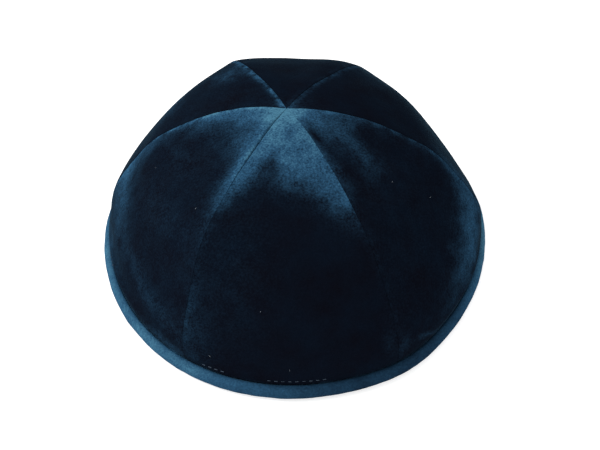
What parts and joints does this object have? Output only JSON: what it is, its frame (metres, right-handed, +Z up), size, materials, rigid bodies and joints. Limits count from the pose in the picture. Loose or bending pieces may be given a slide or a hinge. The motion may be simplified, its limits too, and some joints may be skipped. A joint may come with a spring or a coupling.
{
  "type": "kippah skullcap",
  "caption": "Domed cloth skullcap sewn from velvet gores that meet at the crown, with a padded velvet binding folded over the rim. Open underneath.",
  "frame": {"origin": "on the surface that the cap rests on, under the middle of its bounding box", "axes": "+Z up through the crown, -Y towards the front gore, +X towards the front gore's right-hand neighbour"},
  "size_m": [0.1698, 0.1724, 0.0686],
  "materials": {
    "crown_velvet": "dark navy cut-pile velvet with a soft sheen that follows the lie of the nap",
    "band_velvet": "blue short-pile velvet binding, lighter than the crown, softly padded"
  },
  "bodies": {
    "root": {"panel_back_right": "crown_velvet", "panel_back": "crown_velvet", "panel_back_left": "crown_velvet", "panel_front_left": "crown_velvet", "panel_front": "crown_velvet", "panel_front_right": "crown_velvet", "rim_band": "band_velvet"}
  },
  "joints": []
}
